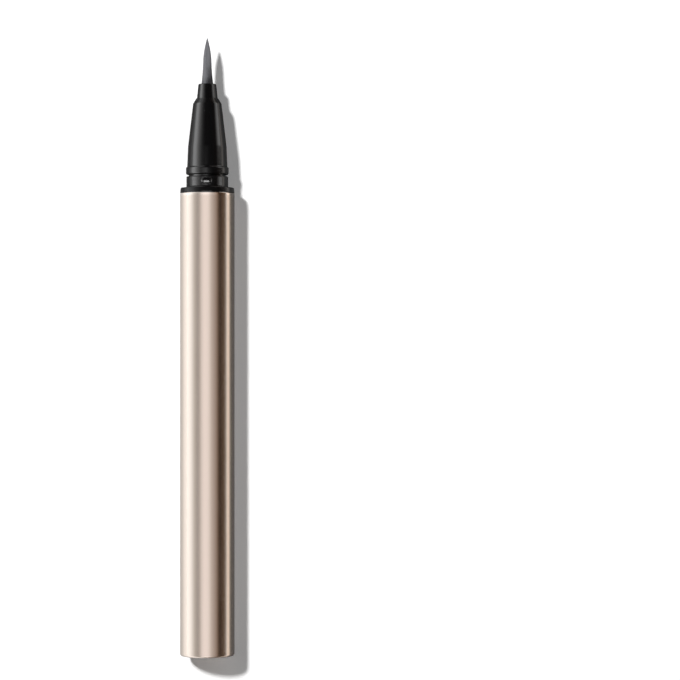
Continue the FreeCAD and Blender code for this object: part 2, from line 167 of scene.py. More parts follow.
class HolderSizes(bpy.types.PropertyGroup):
    """Sizes of the brush's holder."""

    radius: length("Radius", "Radius where it leaves the nose", 0.00218)
    front_radius: length("Front radius", "Radius of its front", 0.00188)
    bore: length("Bore", "Radius of the bore round the brush", 0.00128)
    flange_radius: length("Flange radius", "Radius of the flange inside the nose", 0.0026)
    rim_rounding: length("Rim rounding", "Rounding of its front edge", 0.00022)


class BrushSizes(bpy.types.PropertyGroup):
    """Sizes of the brush."""

    base_radius: length("Base radius", "Radius at the holder", 0.00126)
    middle_radius: length("Middle radius", "Radius where the taper gets steeper", 0.00088)
    middle_from_holder: length("Middle place", "From the holder to where the taper gets steeper", 0.0051)
    fibre_radius: length("Fibre radius", "Radius of one fibre at the holder", 0.000062)
    fibres: number("Fibres", "Number of fibres in the outer layer", 84, 3)
    inner_fibres: number("Inner fibres", "Number of fibres below the outer layer", 46, 0)


class CapSizes(bpy.types.PropertyGroup):
    """Sizes of the cap and the pieces in it."""

    mouth: length("Mouth", "Where the metal shell starts", low("cap_sleeve", 1))
    top: length("Top", "Where the metal shell ends", high("cap_sleeve", 1))
    lip_radius: length("Lip radius", "Radius of the liner's lip", 0.00569)
    land_radius: length("Land radius", "Radius of the guide land in the mouth", 0.00468)
    land_length: length("Land length", "Length of the guide land", 0.00205)
    snap_radius: length("Snap radius", "Radius of the snap rib", 0.00455)
    snap_ramp: length("Snap ramp", "Length of the slope from the land to the snap rib", 0.00014)
    relief_radius: length("Relief radius", "Radius of the room for the bead", 0.00479)
    mouth_chamfer: length("Mouth chamfer", "Size of the chamfer that leads the bead in", 0.00025)
    snap_length: length("Snap length", "Length of the snap rib", 0.0005)
    outer_radius: length("Liner radius", "Outer radius of the liner", 0.00513)
    ledge_radius: length("Ledge radius", "Radius of the ledge round the inner cap", 0.003993)
    ledge_length: length("Ledge length", "Length of the ledge", 0.0034)
    chamber_radius: length("Chamber radius", "Radius of the room for the spring", 0.00457)


class SpringSizes(bpy.types.PropertyGroup):
    """Sizes of the spring behind the inner cap."""

    wire: length("Wire", "Diameter of the wire", 0.0004)
    end_pitch: length("End pitch", "Rise of an end turn", 0.0009)
    turns: number("Turns", "Turns of the wire, with one end turn at each end", 5, 3)


class FinishColours(bpy.types.PropertyGroup):
    """Colours of the finishes."""

    champagne: colour("Champagne", "Anodised aluminium", (0.8, 0.7, 0.62))
    champagne_worn: colour("Worn champagne", "Aluminium where edges are polished", (0.93, 0.84, 0.77))
    black: colour("Black", "Moulded black plastic", (0.003, 0.0028, 0.003))
    black_scuffed: colour("Scuffed black", "Black plastic where it is scuffed", (0.02, 0.019, 0.02))
    fibre: colour("Fibre", "Brush fibres", (0.21, 0.21, 0.225))
    # The darkest fibre tone: for the streaks, the ink at the holder and the brush's painted shade.
    fibre_dark: colour("Dark fibre", "Fibres soaked with ink", (0.028, 0.028, 0.031))
    natural: colour("Natural plastic", "Unpigmented plastic inside", (0.8, 0.8, 0.78))
    steel: colour("Steel", "Spring wire and ball", (0.61, 0.61, 0.62))


class TableSettings(bpy.types.PropertyGroup):
    """The white table, its light and the camera."""

    camera_place: FloatVectorProperty(
        name="Camera",
        description="Where the camera is, looking straight down",
        default=(0.028, 0.0666, 0.603),
        size=3,
        subtype="TRANSLATION",
        unit="LENGTH",
        precision=4,
    )
    half_view: length("Half view", "Half of what the camera sees at the pen's axis", 0.07175)
    table_size: length("Table size", "Length of the table's sides", 6.0)
    key_strength: FloatProperty(
        name="Key light", description="Power of the key light", default=24.0, min=0, unit="POWER"
    )
    fill_strength: share("Fill light", "Strength of the soft light from the right", 0.34)
    table_white: colour("Table", "Colour of the table", (0.93, 0.93, 0.93))


class Shade:
    """A node socket that takes part in Python expressions: each operation adds its Math node."""

    def __init__(self, tree, socket=None):
        self.tree = tree
        self.socket = socket

    def node(self, kind, settings=None, inputs=None, output=0):
        """Adds a node with its settings and its sockets' values or links, and returns an output."""
        made = self.tree.nodes.new(kind)
        for name, value in (settings or {}).items():
            if name == "stops":
                set_stops(made.color_ramp, value)
            else:
                setattr(made, name, value)
        for name, value in (inputs or {}).items():
            if isinstance(value, Shade):
                self.tree.links.new(value.socket, made.inputs[name])
            else:
                made.inputs[name].default_value = value
        return Shade(self.tree, made.outputs[output] if made.outputs else None)

    def out(self, name):
        """Another output of the same node."""
        return Shade(self.tree, self.socket.node.outputs[name])

    def maths(self, operation, *values):
        """One Math node."""
        return self.node("ShaderNodeMath", {"operation": operation}, dict(enumerate(values)))

    def __add__(self, other):
        return self.maths("ADD", self, other)

    def __radd__(self, other):
        return self.maths("ADD", other, self)

    def __sub__(self, other):
        return self.maths("SUBTRACT", self, other)

    def __rsub__(self, other):
        return self.maths("SUBTRACT", other, self)

    def __mul__(self, other):
        return self.maths("MULTIPLY", self, other)

    def __rmul__(self, other):
        return self.maths("MULTIPLY", other, self)

    def __truediv__(self, other):
        return self.maths("DIVIDE", self, other)

    def limited(self):
        """The value kept between 0 and 1."""
        return self.node("ShaderNodeClamp", None, {"Value": self})

    def distance(self, place):
        """How far this value is from another."""
        gap = self - place
        return gap.maths("ABSOLUTE", gap)

    def ramp(self, first, last):
        """0 below the first value and 1 above the last, smooth between them."""
        limits = {"Value": self, "From Min": first, "From Max": last}
        return self.node("ShaderNodeMapRange", {"interpolation_type": "SMOOTHSTEP"}, limits)

    def mixed(self, first, last):
        """A colour between two colours, with this value as the factor."""
        ends = {"Factor": self, FIRST_COLOUR: rgba(first), LAST_COLOUR: rgba(last)}
        return self.node("ShaderNodeMix", {"data_type": "RGBA"}, ends, MIXED_COLOUR)

    def graded(self, stops):
        """The colour at this value of a ramp with these stops, as (place, colour)."""
        return self.node("ShaderNodeValToRGB", {"stops": stops}, {"Fac": self}, "Color")

    def noise(self, scale, detail=2.0, roughness=0.5):
        """Noise at this place, with its own scale along each axis, per metre."""
        stretched = self.node("ShaderNodeVectorMath", {"operation": "MULTIPLY"}, {0: self, 1: scale})
        inputs = {"Vector": stretched, "Scale": 1.0, "Detail": detail, "Roughness": roughness}
        return self.node("ShaderNodeTexNoise", None, inputs, "Fac")


def rgba(value):
    """A colour's value for a socket, or its link as it is."""
    if isinstance(value, Shade):
        return value
    return (*value[:3], 1.0)


def set_stops(ramp, stops):
    """Gives a colour ramp its stops, as (place, colour)."""
    while len(ramp.elements) > 1:
        ramp.elements.remove(ramp.elements[-1])
    ramp.elements[0].position = stops[0][0]
    ramp.elements[0].color = rgba(stops[0][1])
    for place, value in stops[1:]:
        ramp.elements.new(place).color = rgba(value)


def new_finish(name):
    """A material with no shader yet, and the place on the piece as a socket."""
    material = bpy.data.materials.new(name)
    material.use_nodes = True
    tree = material.node_tree
    tree.nodes.clear()
    place = Shade(tree).node("ShaderNodeTexCoord", output="Object")
    return material, place


def principled(place, **inputs):
    """The Principled shader with these inputs."""
    sockets = {name.replace("_", " "): value for name, value in inputs.items()}
    return place.node("ShaderNodeBsdfPrincipled", None, sockets)


def finish_with(place, **inputs):
    """Connects the Principled shader with these inputs to the output."""
    place.node("ShaderNodeOutputMaterial", None, {"Surface": principled(place, **inputs)})


def bumped(place, height, depth):
    """A normal from a height between 0 and 1 that stands for this depth in metres."""
    return place.node("ShaderNodeBump", None, {"Height": height, "Distance": depth}, "Normal")


def split(place):
    """The three coordinates of a place."""
    parts = place.node("ShaderNodeSeparateXYZ", None, {"Vector": place})
    return parts, parts.out("Y"), parts.out("Z")


def darker(tint, part):
    """A colour with each channel brought down to this part of it."""
    return [channel * part for channel in tint]


def champagne_metal(name, mouth, tints):
    """Satin anodised aluminium: fine grain along the axis, soft handling marks and a polished mouth."""
    material, place = new_finish(name)
    along = split(place)[1]
    grain = place.noise((9000, 160, 9000), 3.0, 0.6)
    speck = place.noise((6200, 6200, 6200), 1.0)
    marks = place.noise((260, 70, 260), 3.0, 0.6)
    worn_width = 0.0009
    near_mouth = 1.0 - along.distance(mouth).ramp(worn_width * 0.3, worn_width)
    worn = (near_mouth * (0.55 + marks * 0.9)).limited()
    tone = ((marks - 0.5) * 0.5 + (speck - 0.5) * 0.35 + 0.5).limited()
    satin = tone.mixed(darker(tints.champagne, 0.965), tints.champagne)
    finish_with(
        place,
        Base_Color=worn.mixed(satin, tints.champagne_worn),
        Metallic=1.0,
        Roughness=0.235 + (grain - 0.5) * 0.1 + (marks - 0.5) * 0.09 - worn * 0.07,
        Normal=bumped(place, grain * 0.7 + speck * 0.3, 0.0000012),
    )
    return material


def moulded_black(name, tints, gloss, scuffs=()):
    """Glossy moulded black plastic with the mould's faint skin, dust, and rings rubbed by the cap."""
    material, place = new_finish(name)
    along = split(place)[1]
    skin = place.noise((1500, 1500, 1500), 2.0)
    pores = place.noise((9000, 9000, 9000), 1.0)
    rings = place.noise((500, 30000, 500), 2.0).ramp(0.56, 0.72)
    dust = place.noise((5200, 5200, 5200), 0.0).ramp(0.8, 0.86)
    rubbed = 0.0
    for middle, width in scuffs:
        rubbed = 1.0 - along.distance(middle).ramp(0.0, width) + rubbed
    scuff = (rings * (rubbed + 0.12)).limited()
    tone = (scuff * 0.55 + dust * 0.5).limited().mixed(tints.black, tints.black_scuffed)
    normal = bumped(place, skin * 0.75 + pores * 0.25 - scuff * 0.4, 0.0000035)
    rough = gloss + (skin - 0.5) * 0.06 + scuff * 0.14 + dust * 0.1
    polished = principled(place, Base_Color=tone, Roughness=rough, IOR=1.45, Normal=normal)
    dull = principled(place, Base_Color=tone, Roughness=0.6, Specular_IOR_Level=0.1, Normal=normal)
    facing_away = place.node("ShaderNodeLayerWeight", None, {"Blend": 0.5}, "Facing")
    grazing = facing_away.ramp(0.32, 0.56) * 0.92
    shader = place.node("ShaderNodeMixShader", None, {0: grazing, 1: polished, 2: dull})
    place.node("ShaderNodeOutputMaterial", None, {"Surface": shader})
    return material


def brush_fibre(name, tints):
    """Nylon fibres with ink between them: streaked, darker at the holder from ink wetness and painted shade,
    and darker further up on the right side from painted shade.
    """
    material, place = new_finish(name)
    across, along = split(place)[:2]
    mouth = high("nib_holder", 1)
    holder_shade_end = mouth + 0.0018
    side_shade_fade = mouth + 0.0015
    side_shade_end = mouth + 0.0056
    streak = place.noise((16000, 420, 16000), 2.0, 0.6)
    # Painted shade: side is 0 on the brush's left and 1 on its right, away from the key light.
    side = across.ramp(-0.0006, 0.0009)
    # Darker at the holder: partly ink wetness, which also lowers the roughness, and partly painted shade next
    # to the holder, more on the right.
    wet_and_holder_shade = (1.0 - along.ramp(mouth, holder_shade_end)) * (0.3 + side * 0.3)
    # Painted shade on the brush's right side, fading out towards the point.
    painted_side_shade = side * (1.0 - along.ramp(side_shade_fade, side_shade_end)) * 0.72
    tone = (0.62 + streak.ramp(0.3, 0.7) * 0.38 - wet_and_holder_shade - painted_side_shade).limited()
    finish_with(
        place,
        Base_Color=tone.mixed(tints.fibre_dark, tints.fibre),
        Roughness=0.52 - wet_and_holder_shade * 0.12 + (streak - 0.5) * 0.1,
        Sheen_Weight=0.15,
        Normal=bumped(place, streak, 0.00001),
    )
    return material


def plain_plastic(name, tint, shine):
    """Unpolished moulded plastic inside the pen: flow marks and a fine grain."""
    material, place = new_finish(name)
    flow = place.noise((900, 140, 900), 3.0)
    grain = place.noise((7000, 7000, 7000), 1.0)
    finish_with(
        place,
        Base_Color=(flow * 0.8 + grain * 0.2).limited().mixed(darker(tint, 0.86), tint),
        Roughness=shine + (flow - 0.5) * 0.12 + (grain - 0.5) * 0.06,
        Normal=bumped(place, flow * 0.4 + grain * 0.6, 0.000004),
    )
    return material


def drawn_steel(name, tint, shine):
    """Bright steel with fine scratches."""
    material, place = new_finish(name)
    scratch = place.noise((14000, 3000, 14000), 2.0)
    stain = place.noise((900, 900, 900), 2.0)
    finish_with(
        place,
        Base_Color=(stain * 0.6 + scratch * 0.4).limited().mixed(darker(tint, 0.8), tint),
        Metallic=1.0,
        Roughness=shine + (scratch - 0.5) * 0.1 + (stain - 0.5) * 0.08,
        Normal=bumped(place, scratch, 0.000001),
    )
    return material


def rounded(points, step=0.2):
    """The points of a closed profile of (place, radius), where a third number rounds that corner."""
    most_guard = 0.00004
    places = [Vector(point[:2]) for point in points]
    profile = []
    for index, here in enumerate(places):
        size = points[index][2] if len(points[index]) > 2 else 0
        if size == 0:
            profile.append(here)
            continue
        before = (places[index - 1] - here).normalized()
        after = (places[(index + 1) % len(places)] - here).normalized()
        turn = math.pi - before.angle(after)
        reach = size * math.tan(turn / 2)
        start = here + before * reach
        end = here + after * reach
        centre = here + (before + after).normalized() * (size / math.cos(turn / 2))
        count = max(2, round(turn / step))
        guard = min(size * 0.4, most_guard)
        profile.append(start + before * guard)
        first = math.atan2(start.y - centre.y, start.x - centre.x)
        last = math.atan2(end.y - centre.y, end.x - centre.x)
        swing = (last - first + math.pi) % (2 * math.pi) - math.pi
        for part in range(count + 1):
            angle = first + swing * part / count
            profile.append(centre + Vector((math.cos(angle), math.sin(angle))) * size)
        profile.append(end + after * guard)
    return [tuple(point) for point in profile]


def on_pen(radius, place, angle):
    """A point at a radius from the pen's axis, turned from straight up towards the right."""
    return Vector((radius * math.sin(angle), place, radius * math.cos(angle)))


def turned(mesh, profile, sides=144):
    """Adds a solid turned about the pen's axis from a closed profile to a bmesh."""
    rows = []
    for place, radius in profile:
        if radius < 1e-7:
            rows.append([mesh.verts.new((0, place, 0))])
            continue
        angles = [2 * math.pi * index / sides for index in range(sides)]
        rows.append([mesh.verts.new(on_pen(radius, place, angle)) for angle in angles])
    for index, row in enumerate(rows):
        following = rows[(index + 1) % len(rows)]
        for side in range(sides):
            beside = (side + 1) % sides
            corners = [row[side % len(row)], row[beside % len(row)]]
            corners += [following[beside % len(following)], following[side % len(following)]]
            kept = list(dict.fromkeys(corners))
            if len(kept) > 2:
                mesh.faces.new(kept)


def bump(mesh, centre, half_straight, radius, turn, floor, steps=9, sides=40):
    """Adds the top of a bar with round ends, laid across the pen, down to a radius inside the neck."""
    rows = []
    for part in range(2 * steps + 2):
        end = -1 if part <= steps else 1
        angle = math.pi / 2 * ((steps - part) if end < 0 else (part - steps - 1)) / steps
        across = end * (half_straight + radius * math.sin(angle))
        round_radius = radius * math.cos(angle)
        row = []
        for side in range(sides):
            way = 2 * math.pi * side / sides
            up = centre.z + round_radius * math.cos(way)
            away = max(floor, math.hypot(across, up))
            along = centre.y + round_radius * math.sin(way)
            row.append(mesh.verts.new(on_pen(away, along, math.atan2(across, up) + turn)))
        rows.append(row)
    skin(mesh, rows)


def skin(mesh, rows):
    """Adds the faces between rings of points."""
    for row, following in zip(rows, rows[1:]):
        for side in range(len(row)):
            beside = (side + 1) % len(row)
            mesh.faces.new((row[side], row[beside], following[beside], following[side]))


def added(name, data):
    """A new object in the scene."""
    made = bpy.data.objects.new(name, data)
    bpy.context.scene.collection.objects.link(made)
    return made


def piece(name, mesh, finish, slot, body, *nodes, sharp=38):
    """Turns a bmesh into a piece with its finish, which rides a body and stands for CAD nodes."""
    bmesh.ops.remove_doubles(mesh, verts=mesh.verts, dist=1e-7)
    bmesh.ops.recalc_face_normals(mesh, faces=mesh.faces)
    data = bpy.data.meshes.new(name)
    mesh.to_mesh(data)
    mesh.free()
    data.shade_smooth()
    data.set_sharp_from_angle(angle=math.radians(sharp))
    data.materials.append(finish)
    made = added(name, data)
    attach(made, body)
    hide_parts(*nodes)
    return made


def closed_shell(mouth, end, sizes):
    """Profile of a drawn tube from its open mouth to its closed end."""
    way = 1 if end > mouth else -1
    inner = sizes.radius - sizes.wall
    return rounded([
        (mouth, inner),
        (mouth, sizes.radius, sizes.rim_rounding),
        (end, sizes.radius, sizes.end_rounding),
        (end, 0),
        (end - way * sizes.end_wall, 0),
        (end - way * sizes.end_wall, inner, HIDDEN_ROUNDING),
    ])


def brush_radius(along, sizes, span):
    """Radius of the brush at a distance from the holder: a slim waist, then a full taper to the point."""
    waist = 0.00007
    belly = 0.00014
    point_radius = 0.00004
    if along < sizes.middle_from_holder:
        part = along / sizes.middle_from_holder
        taken = waist * 4 * part * (1 - part)
        return sizes.base_radius + (sizes.middle_radius - sizes.base_radius) * part - taken
    part = min(1, (along - sizes.middle_from_holder) / (span - sizes.middle_from_holder))
    added = belly * 4 * part * (1 - part)
    return sizes.middle_radius * (1 - part) + point_radius * part + added


class MakeBarrel(bpy.types.Operator):
    """Make the drawn metal barrel"""

    bl_idname = "eyeliner.make_barrel"
    bl_label = "Barrel"

    def execute(self, context):
        sizes = context.scene.barrel_sizes
        tints = context.scene.finish_colours
        mesh = bmesh.new()
        turned(mesh, closed_shell(sizes.mouth, 0, sizes))
        finish = champagne_metal("satin champagne barrel", sizes.mouth, tints)
        piece("barrel_shell", mesh, finish, "barrel_metal", "pen", "barrel_sleeve")
        return {"FINISHED"}


class MakeNeckCollar(bpy.types.Operator):
    """Make the black collar with its flange, neck and bumps"""

    bl_idname = "eyeliner.make_neck_collar"
    bl_label = "Neck Collar"

    def execute(self, context):
        barrel = context.scene.barrel_sizes
        sizes = context.scene.collar_sizes
        tints = context.scene.finish_colours
        rear = low("neck_collar", 1)
        neck_at = barrel.mouth + sizes.flange
        gap_to_barrel = 0.00022
        spigot_wall = 0.00155
        bore_from_rear = 0.0016
        bump_root = 0.0002
        scuff_width = 0.0012
        spigot = barrel.radius - barrel.wall - gap_to_barrel
        mesh = bmesh.new()
        turned(mesh, rounded([
            (rear, spigot - spigot_wall),
            (rear, spigot, HIDDEN_ROUNDING),
            (barrel.mouth, spigot),
            (barrel.mouth, barrel.radius, 0.00012),
            (neck_at, barrel.radius - sizes.flange_draft, 0.00015),
            (neck_at, sizes.neck_radius, 0.00035),
            (sizes.neck_end, sizes.neck_radius, 0.0002),
            (sizes.neck_end, sizes.socket_radius),
            (sizes.neck_end - sizes.socket_depth, sizes.socket_radius),
            (sizes.neck_end - sizes.socket_depth, sizes.bore),
            (rear + bore_from_rear, sizes.bore),
        ]))
        bar = sizes.bump_bar_radius
        bumps_at = neck_at + sizes.bump_from_flange
        centre = Vector((0, bumps_at, sizes.bump_radius - bar))
        for index in range(sizes.bump_count):
            turn = 2 * math.pi * index / sizes.bump_count
            bump(mesh, centre, sizes.bump_bar_straight / 2, bar, turn, sizes.neck_radius - bump_root)
        finish = moulded_black("moulded black collar", tints, 0.17, [(bumps_at, scuff_width)])
        piece("collar_body", mesh, finish, "collar_black", "pen", "neck_collar")
        return {"FINISHED"}


class MakeNose(bpy.types.Operator):
    """Make the tapered black nose with its bead"""

    bl_idname = "eyeliner.make_nose"
    bl_label = "Nose"

    def execute(self, context):
        collar = context.scene.collar_sizes
        sizes = context.scene.nose_sizes
        tints = context.scene.finish_colours
        rear = low("front_cone", 1)
        front = high("front_cone", 1)
        holder_length = 0.00826
        bead_slope = 0.00025
        holder_step = high("nib_holder", 1) - holder_length
        bead_end = sizes.bead_at + sizes.bead_length
        scuff = (sizes.bead_at + 0.0008, 0.0009)
        mesh = bmesh.new()
        turned(mesh, rounded([
            (rear, collar.bore),
            (rear, sizes.spigot_radius, HIDDEN_ROUNDING),
            (collar.neck_end, sizes.spigot_radius),
            (collar.neck_end, sizes.groove_radius),
            (sizes.bead_at, sizes.groove_radius),
            (sizes.bead_at, sizes.bead_radius, 0.00045),
            (bead_end - bead_slope, sizes.bead_radius, 0.0003),
            (bead_end, sizes.base_radius, 0.0002),
            (sizes.kink_at, sizes.kink_radius, 0.003),
            (sizes.shoulder_at, sizes.shoulder_radius, 0.0004),
            (front, sizes.front_bore + SMALL_CHAMFER, 0.00003),
            (front - SMALL_CHAMFER, sizes.front_bore),
            (holder_step, sizes.front_bore),
            (holder_step, collar.bore),
        ]))
        finish = moulded_black("moulded black nose", tints, 0.16, [scuff])
        piece("nose_body", mesh, finish, "nose_black", "pen", "front_cone")
        return {"FINISHED"}


class MakeBrushHolder(bpy.types.Operator):
    """Make the small black holder round the brush"""

    bl_idname = "eyeliner.make_brush_holder"
    bl_label = "Brush Holder"

    def execute(self, context):
        sizes = context.scene.holder_sizes
        tints = context.scene.finish_colours
        rear = low("nib_holder", 1)
        front = high("nib_holder", 1)
        nose_front = high("front_cone", 1)
        seat = low("brush_tip", 1)
        seat_radius = 0.00154
        flange_front = rear + 0.0008
        mesh = bmesh.new()
        turned(mesh, rounded([
            (rear, seat_radius),
            (rear, sizes.flange_radius, 0.0001),
            (flange_front, sizes.flange_radius, 0.0001),
            (flange_front, sizes.radius),
            (nose_front, sizes.radius),
            (front, sizes.front_radius, sizes.rim_rounding),
            (front, sizes.bore + SMALL_CHAMFER, 0.00004),
            (front - SMALL_CHAMFER, sizes.bore),
            (seat, sizes.bore),
            (seat, seat_radius),
        ]), sides=96)
        finish = moulded_black("moulded black holder", tints, 0.2)
        piece("holder_body", mesh, finish, "holder_black", "pen", "nib_holder")
        return {"FINISHED"}


def brush_core(root, mouth, span, sizes):
    """Profile of the brush's solid middle, just inside its fibres."""
    inset = 0.00007
    thinnest = 0.00001
    steps = 40
    reach = 0.985
    profile = [(root, 0), (root, sizes.base_radius - inset)]
    for index in range(steps + 1):
        along = span * index / steps * reach
        radius = brush_radius(along, sizes, span) * 0.93 - inset * 0.4
        profile.append((mouth + along, max(thinnest, radius)))
    profile.append((mouth + span * reach, 0))
    return profile


def add_fibre(mesh, mouth, ends, angle, drift, depth, sizes, span, chance):
    """Adds one tapered fibre that follows the brush's outline at a depth below it."""
    rings = 20
    sides = 6
    point_from = 0.85
    start, end = ends
    wave = chance.uniform(0, 2 * math.pi)
    rows = []
    for index in range(rings + 1):
        part = index / rings
        along = start + (end - start) * part
        outline = brush_radius(max(0, along), sizes, span)
        slim = 1 - 0.75 * max(0, part - point_from) / (1 - point_from)
        thick = sizes.fibre_radius * (0.3 + 0.7 * outline / sizes.base_radius) * slim
        away = max(0, outline - thick - depth * outline / sizes.base_radius)
        sway = angle + drift * part + 0.04 * math.sin(wave + 5 * part)
        centre = on_pen(away, mouth + along, sway)
        ways = [2 * math.pi * side / sides + sway for side in range(sides)]
        rows.append([mesh.verts.new(centre + on_pen(thick, 0, way)) for way in ways])
    skin(mesh, rows)
    mesh.faces.new(rows[-1])


class MakeBrush(bpy.types.Operator):
    """Make the brush from tapered fibres that meet at the point"""

    bl_idname = "eyeliner.make_brush"
    bl_label = "Brush"

    def execute(self, context):
        sizes = context.scene.brush_sizes
        tints = context.scene.finish_colours
        root = low("brush_tip", 1)
        mouth = high("nib_holder", 1)
        tip = high("brush_tip", 1)
        span = tip - mouth
        above_root = 0.0002
        start = root - mouth + above_root
        below_outer = 0.00008
        scatter = 0.00003
        finish = brush_fibre("grey brush fibre", tints)
        chance = random.Random(7)
        mesh = bmesh.new()
        turned(mesh, brush_core(root, mouth, span, sizes), sides=48)
        for count, layer in [(sizes.fibres, 0.0), (sizes.inner_fibres, below_outer)]:
            for index in range(count):
                angle = 2 * math.pi * (index + chance.uniform(-0.3, 0.3)) / count
                end = min(span * (1 - 0.34 * chance.random() ** 2.2), span * 0.997)
                drift = chance.uniform(-0.1, 0.1)
                depth = layer + chance.uniform(0, scatter)
                add_fibre(mesh, mouth, (start, end), angle, drift, depth, sizes, span, chance)
        piece("brush_bundle", mesh, finish, "brush_fibre", "pen", "brush_tip", sharp=60)
        return {"FINISHED"}


class MakeCapShell(bpy.types.Operator):
    """Make the drawn metal shell of the cap"""

    bl_idname = "eyeliner.make_cap_shell"
    bl_label = "Cap Shell"

    def execute(self, context):
        barrel = context.scene.barrel_sizes
        cap = context.scene.cap_sizes
        tints = context.scene.finish_colours
        mesh = bmesh.new()
        turned(mesh, closed_shell(cap.mouth, cap.top, barrel))
        finish = champagne_metal("satin champagne cap", cap.mouth, tints)
        piece("cap_shell", mesh, finish, "cap_metal", "cap", "cap_sleeve")
        return {"FINISHED"}


class MakeCapLiner(bpy.types.Operator):
    """Make the moulded inside of the cap"""

    bl_idname = "eyeliner.make_cap_liner"
    bl_label = "Cap Liner"

    def execute(self, context):
        cap = context.scene.cap_sizes
        tints = context.scene.finish_colours
        lip = low("cap_liner", 1)
        end = high("cap_liner", 1)
        spring_seat = 0.00103
        ledge_back = low("inner_cap_spring", 1) - spring_seat
        ledge_front = ledge_back - cap.ledge_length
        chamfer = cap.mouth_chamfer
        land_end = lip + cap.land_length
        snap_at = land_end + cap.snap_ramp
        snap_end = snap_at + cap.snap_length
        scuff = (lip + 0.001, 0.001)
        mesh = bmesh.new()
        turned(mesh, rounded([
            (lip, cap.land_radius + chamfer, 0.00006),
            (lip, cap.lip_radius, 0.0001),
            (cap.mouth, cap.lip_radius),
            (cap.mouth, cap.outer_radius),
            (end, cap.outer_radius),
            (end, cap.chamber_radius),
            (ledge_back, cap.chamber_radius),
            (ledge_back, cap.ledge_radius, 0.0001),
            (ledge_front, cap.ledge_radius, 0.0001),
            (ledge_front - (cap.relief_radius - cap.ledge_radius), cap.relief_radius, 0.0002),
            (snap_end + cap.relief_radius - cap.snap_radius, cap.relief_radius, 0.0001),
            (snap_end, cap.snap_radius, 0.00006),
            (snap_at, cap.snap_radius, 0.00006),
            (land_end, cap.land_radius, 0.00004),
            (lip + chamfer, cap.land_radius, 0.00006),
        ]), sides=128)
        finish = moulded_black("moulded black liner", tints, 0.19, [scuff])
        piece("liner_body", mesh, finish, "liner_black", "cap", "cap_liner")
        return {"FINISHED"}


class MakeInnerCap(bpy.types.Operator):
    """Give the sprung cup that closes on the nose its finish"""

    bl_idname = "eyeliner.make_inner_cap"
    bl_label = "Inner Cap"

    def execute(self, context):
        dress("inner_cap", plain_plastic("matt black cup", (0.03, 0.03, 0.032), 0.42))
        return {"FINISHED"}


def coil(mesh, start, end, radius, sizes, steps=48, sides=12):
    """Adds the wire of a coil spring, with closer turns at both ends."""
    open_turns = sizes.turns - 2
    open_pitch = (end - start - sizes.wire - 2 * sizes.end_pitch) / open_turns
    along = Vector((0, sizes.wire / 2, 0))
    rows = []
    for index in range(steps * sizes.turns + 1):
        turn = index / steps
        between = min(max(turn - 1, 0), open_turns)
        height = (turn - between) * sizes.end_pitch + between * open_pitch
        angle = 2 * math.pi * turn
        outward = Vector((math.cos(angle), 0, math.sin(angle)))
        centre = outward * radius + along + Vector((0, start + height, 0))
        row = []
        for side in range(sides):
            way = 2 * math.pi * side / sides
            sideways = outward * (math.cos(way) * sizes.wire / 2)
            row.append(mesh.verts.new(centre + sideways + along * math.sin(way)))
        rows.append(row)
    skin(mesh, rows)
    mesh.faces.new(rows[0])
    mesh.faces.new(rows[-1])


class MakeSpring(bpy.types.Operator):
    """Make the spring that shortens as the inner cap is pushed back"""

    bl_idname = "eyeliner.make_spring"
    bl_label = "Inner Cap Spring"

    def execute(self, context):
        sizes = context.scene.spring_sizes
        tints = context.scene.finish_colours
        start = low("inner_cap_spring", 1)
        end = high("inner_cap_spring", 1)
        radius = high("inner_cap_spring", 2) - sizes.wire / 2
        mesh = bmesh.new()
        coil(mesh, start, end, radius, sizes)
        finish = drawn_steel("drawn spring steel", tints.steel, 0.25)
        made = piece("spring_coil", mesh, finish, "spring_steel", "cap", "inner_cap_spring")
        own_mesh(made)
        return {"FINISHED"}


def dress(name, finish):
    """Gives a CAD piece that stays as it is its finish."""
    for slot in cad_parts[name].material_slots:
        slot.material = finish


class FinishInnerPieces(bpy.types.Operator):
    """Give the pieces inside the pen and the cap their finishes"""

    bl_idname = "eyeliner.finish_inner_pieces"
    bl_label = "Inner Pieces"

    def execute(self, context):
        tints = context.scene.finish_colours
        dress("brush_root", plain_plastic("fused fibre ends", (0.05, 0.05, 0.06), 0.5))
        dress("relay_core", brush_fibre("ink-stained fibre rod", tints))
        dress("collector", plain_plastic("natural collector plastic", tints.natural, 0.3))
        dress("collector_seal", plain_plastic("black rubber cord", (0.02, 0.02, 0.02), 0.6))
        dress("ink_tank", plain_plastic("extruded tank plastic", (0.82, 0.83, 0.83), 0.22))
        dress("tail_plug", plain_plastic("natural plug plastic", tints.natural, 0.4))
        dress("stirring_ball", drawn_steel("polished ball steel", tints.steel, 0.12))
        dress("cap_plug", moulded_black("moulded black plug", tints, 0.2))
        return {"FINISHED"}


def scaled(rows):
    """Ramp stops from (place, colour or grey) rows with the brightest channel at 1, and that channel."""
    top = max(max(tint) for _, *tint in rows)
    stops = []
    for place, *tint in rows:
        full = tint if len(tint) == 3 else tint * 3
        stops.append((place, [channel / top for channel in full]))
    return stops, top


def by_angle(rows):
    """Ramp stops from (angle, colour) rows, with 0 in the middle and 180 degrees at both ends."""
    return scaled([(0.5 + angle / 180 / 2, *tint) for angle, *tint in rows])


